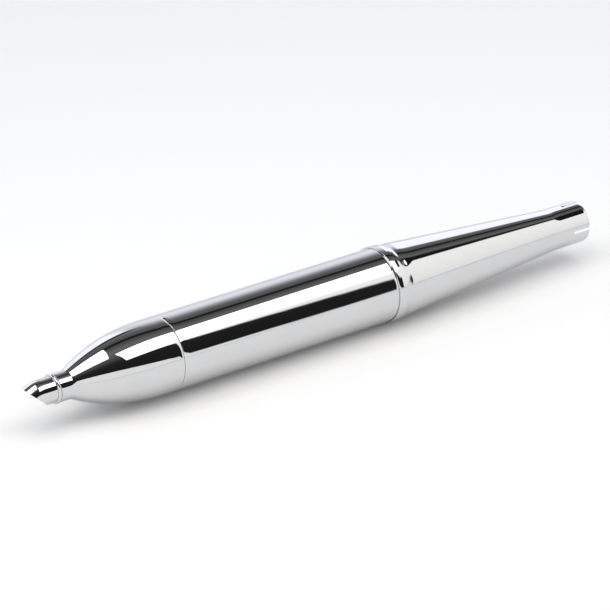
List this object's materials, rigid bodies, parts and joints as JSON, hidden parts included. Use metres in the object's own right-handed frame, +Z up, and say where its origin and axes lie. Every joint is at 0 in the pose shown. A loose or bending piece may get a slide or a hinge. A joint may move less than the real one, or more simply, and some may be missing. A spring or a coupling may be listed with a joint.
{
  "type": "exhaust silencer",
  "caption": "Cigar-shaped chromed two-stroke exhaust silencer: slotted inlet cone, barrel, tapered tail shell with slash-cut outlet, baffle insert drawn together by a tie rod.",
  "frame": {"origin": "centre of the inlet rim, on the axis of the silencer", "axes": "+X along the axis, out of the inlet mouth; the tail points to -X; +Z up, the slash-cut outlet opens down and back"},
  "size_m": [0.5349, 0.0624, 0.0624],
  "materials": {
    "chrome_shell": "mirror",
    "chrome_outlet": "mirror",
    "plain_steel": "satin",
    "zinc_hardware": "satin",
    "graphite_seal": "matte",
    "glass_fibre": "matte"
  },
  "bodies": {
    "front_section": {"front_cone": "chrome_shell", "joint_seal": "graphite_seal", "anchor_bar": "plain_steel", "weld_nut": "plain_steel", "jam_nut": "zinc_hardware", "tie_rod": "zinc_hardware"},
    "barrel": {"barrel_tube": "chrome_shell", "insert_stop": "plain_steel"},
    "baffle_insert": {"front_baffle": "plain_steel", "middle_baffle": "plain_steel", "transfer_tubes": "plain_steel", "rod_guide": "plain_steel", "core_tube": "plain_steel", "packing_plate": "plain_steel", "packing": "glass_fibre", "packing_wires": "plain_steel", "rear_baffle": "plain_steel", "thrust_ring": "graphite_seal"},
    "tail_section": {"tail_shell": "chrome_shell", "tail_spigot": "plain_steel", "neck_ring": "chrome_outlet", "outlet_pipe": "chrome_outlet", "outlet_tip": "chrome_outlet", "tail_bar": "plain_steel"},
    "washers": {"plain_washer": "zinc_hardware", "spring_washer": "zinc_hardware"},
    "nut": {"retaining_nut": "zinc_hardware"}
  },
  "joints": [
    {"name": "barrel_pull", "type": "slide", "parent": "front_section", "child": "barrel", "axis": [-1, 0, 0], "range_m": [0, 0.1]},
    {"name": "tail_pull", "type": "slide", "parent": "barrel", "child": "tail_section", "axis": [-1, 0, 0], "range_m": [0, 0.16]},
    {"name": "insert_pull", "type": "slide", "parent": "barrel", "child": "baffle_insert", "axis": [-1, 0, 0], "range_m": [0, 0.08]},
    {"name": "washer_travel", "type": "slide", "parent": "tail_section", "child": "washers", "axis": [-1, 0, 0], "range_m": [0, 0.008]},
    {"name": "nut_turn", "type": "hinge", "parent": "washers", "child": "nut", "pos_m": [-0.506, 0, 0], "axis": [-1, 0, 0], "range_deg": [0, 2880]}
  ],
  "couplings": [
    {"joint": "insert_pull", "follows": "tail_pull", "ratio": 0.5},
    {"joint": "nut_turn", "follows": "washer_travel", "rad_per_m": 6283}
  ]
}
